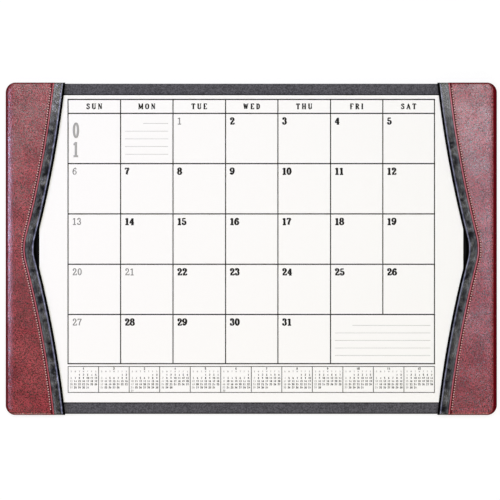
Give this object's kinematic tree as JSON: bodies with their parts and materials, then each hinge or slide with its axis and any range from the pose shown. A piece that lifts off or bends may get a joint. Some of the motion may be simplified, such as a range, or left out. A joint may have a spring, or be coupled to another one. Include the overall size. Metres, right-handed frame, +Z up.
{
  "type": "desk pad calendar",
  "caption": "Flat covered desk pad with two padded leather side rails whose pockets hold a stack of month sheets that slide out.",
  "frame": {"origin": "middle of the underside of the felt, on the surface the pad lies on", "axes": "+X across the pad to the writer's right, +Y away from the writer, +Z up"},
  "size_m": [0.6478, 0.4382, 0.0125],
  "materials": {
    "felt": "matt pressed felt",
    "greyboard": "matt pressed board",
    "base_leatherette": "fine-grained satin leatherette",
    "lining_cloth": "matt woven cloth",
    "foam": "open-cell foam sheet",
    "burgundy_leather": "satin finished leather with fine grain",
    "black_leather": "soft satin leather",
    "sewing_thread": "twisted thread",
    "calendar_paper": "uncoated white writing paper with a printed grid"
  },
  "bodies": {
    "pad": {"felt_pad": "felt", "infill_card": "greyboard", "base_board": "greyboard", "base_cover": "base_leatherette", "left_pocket_strip": "greyboard", "left_rail_lining": "lining_cloth", "left_rail_board": "greyboard", "left_rail_padding": "foam", "left_rail_leather": "burgundy_leather", "left_rail_trim": "black_leather", "left_seam_thread": "sewing_thread", "right_pocket_strip": "greyboard", "right_rail_lining": "lining_cloth", "right_rail_board": "greyboard", "right_rail_padding": "foam", "right_rail_leather": "burgundy_leather", "right_rail_trim": "black_leather", "right_seam_thread": "sewing_thread"},
    "backing_card": {"backing_card": "greyboard"},
    "month_sheet_01": {"month_sheet_01": "calendar_paper"},
    "month_sheet_02": {"month_sheet_02": "calendar_paper"},
    "month_sheet_03": {"month_sheet_03": "calendar_paper"},
    "month_sheet_04": {"month_sheet_04": "calendar_paper"},
    "month_sheet_05": {"month_sheet_05": "calendar_paper"},
    "month_sheet_06": {"month_sheet_06": "calendar_paper"},
    "month_sheet_07": {"month_sheet_07": "calendar_paper"},
    "month_sheet_08": {"month_sheet_08": "calendar_paper"},
    "month_sheet_09": {"month_sheet_09": "calendar_paper"},
    "month_sheet_10": {"month_sheet_10": "calendar_paper"},
    "month_sheet_11": {"month_sheet_11": "calendar_paper"},
    "month_sheet_12": {"month_sheet_12": "calendar_paper"}
  },
  "joints": [
    {"name": "backing_card_slide", "type": "slide", "parent": "pad", "child": "backing_card", "axis": [0, 1, 0], "range_m": [-0.425, 0.425]},
    {"name": "month_sheet_01_slide", "type": "slide", "parent": "pad", "child": "month_sheet_01", "axis": [0, 1, 0], "range_m": [-0.425, 0.425]},
    {"name": "month_sheet_02_slide", "type": "slide", "parent": "pad", "child": "month_sheet_02", "axis": [0, 1, 0], "range_m": [-0.425, 0.425]},
    {"name": "month_sheet_03_slide", "type": "slide", "parent": "pad", "child": "month_sheet_03", "axis": [0, 1, 0], "range_m": [-0.425, 0.425]},
    {"name": "month_sheet_04_slide", "type": "slide", "parent": "pad", "child": "month_sheet_04", "axis": [0, 1, 0], "range_m": [-0.425, 0.425]},
    {"name": "month_sheet_05_slide", "type": "slide", "parent": "pad", "child": "month_sheet_05", "axis": [0, 1, 0], "range_m": [-0.425, 0.425]},
    {"name": "month_sheet_06_slide", "type": "slide", "parent": "pad", "child": "month_sheet_06", "axis": [0, 1, 0], "range_m": [-0.425, 0.425]},
    {"name": "month_sheet_07_slide", "type": "slide", "parent": "pad", "child": "month_sheet_07", "axis": [0, 1, 0], "range_m": [-0.425, 0.425]},
    {"name": "month_sheet_08_slide", "type": "slide", "parent": "pad", "child": "month_sheet_08", "axis": [0, 1, 0], "range_m": [-0.425, 0.425]},
    {"name": "month_sheet_09_slide", "type": "slide", "parent": "pad", "child": "month_sheet_09", "axis": [0, 1, 0], "range_m": [-0.425, 0.425]},
    {"name": "month_sheet_10_slide", "type": "slide", "parent": "pad", "child": "month_sheet_10", "axis": [0, 1, 0], "range_m": [-0.425, 0.425]},
    {"name": "month_sheet_11_slide", "type": "slide", "parent": "pad", "child": "month_sheet_11", "axis": [0, 1, 0], "range_m": [-0.425, 0.425]},
    {"name": "month_sheet_12_slide", "type": "slide", "parent": "pad", "child": "month_sheet_12", "axis": [0, 1, 0], "range_m": [-0.425, 0.425]}
  ]
}
